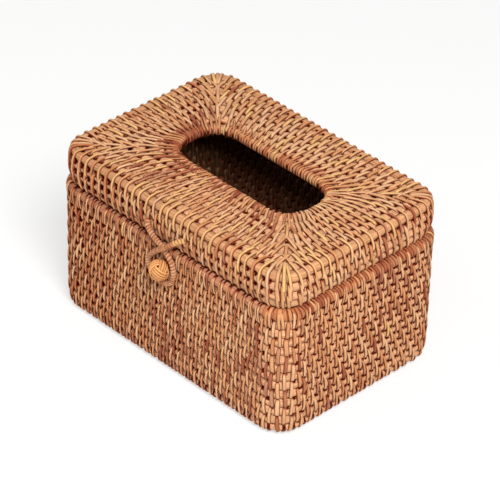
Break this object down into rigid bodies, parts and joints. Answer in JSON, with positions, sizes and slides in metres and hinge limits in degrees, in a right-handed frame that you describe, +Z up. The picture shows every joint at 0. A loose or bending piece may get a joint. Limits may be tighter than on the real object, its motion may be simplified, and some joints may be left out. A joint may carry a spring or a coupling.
{
  "type": "tissue box cover",
  "caption": "Rounded box of coiled rattan rows with a hinged lid, a long tissue slot in its top, and a woven ball and cord loop that hold it shut.",
  "frame": {"origin": "middle of the floor's underside, on the plane the box rests on", "axes": "+X along the length, to the right as the closure is seen; +Y towards the hinges; +Z up"},
  "size_m": [0.2218, 0.1709, 0.1282],
  "materials": {
    "bound_cane": "natural cane, satin, bound in split strips",
    "rim_cane": "natural cane, satin",
    "dark_cane": "reddish-brown split cane, satin",
    "cord_cane": "golden split cane, wrapped and woven"
  },
  "bodies": {
    "base": {"floor_rod": "bound_cane", "floor_row_1": "bound_cane", "floor_row_2": "bound_cane", "floor_row_3": "bound_cane", "floor_row_4": "bound_cane", "floor_row_5": "bound_cane", "floor_row_6": "bound_cane", "floor_row_7": "bound_cane", "floor_row_8": "bound_cane", "floor_row_9": "bound_cane", "heel_row": "bound_cane", "wall_row_1": "bound_cane", "wall_row_2": "bound_cane", "wall_row_3": "bound_cane", "wall_row_4": "bound_cane", "wall_row_5": "bound_cane", "wall_row_6": "bound_cane", "wall_row_7": "bound_cane", "wall_row_8": "bound_cane", "wall_row_9": "bound_cane", "wall_row_10": "bound_cane", "wall_row_11": "bound_cane", "wall_row_12": "bound_cane", "rim_row": "rim_cane", "closure_ball": "cord_cane", "ball_stem": "dark_cane", "left_hinge_base_tie": "dark_cane", "right_hinge_base_tie": "dark_cane", "left_hinge_rod": "rim_cane", "right_hinge_rod": "rim_cane"},
    "lid": {"lid_row_1": "bound_cane", "lid_row_2": "bound_cane", "lid_row_3": "bound_cane", "edge_row": "rim_cane", "top_row_1": "bound_cane", "top_row_2": "bound_cane", "top_row_3": "bound_cane", "top_row_4": "bound_cane", "top_row_5": "bound_cane", "slot_rim": "dark_cane", "left_hinge_lid_tie": "dark_cane", "right_hinge_lid_tie": "dark_cane", "loop_tails": "cord_cane"},
    "loop": {"closure_loop": "cord_cane"}
  },
  "joints": [
    {"name": "lid_hinge", "type": "hinge", "parent": "base", "child": "lid", "pos_m": [0, 0.0785, 0.10092], "axis": [-1, 0, 0], "range_deg": [0, 105]},
    {"name": "loop_swing", "type": "hinge", "parent": "lid", "child": "loop", "pos_m": [0, -0.0753, 0.1144], "axis": [-1, 0, 0], "range_deg": [0, 80]}
  ]
}
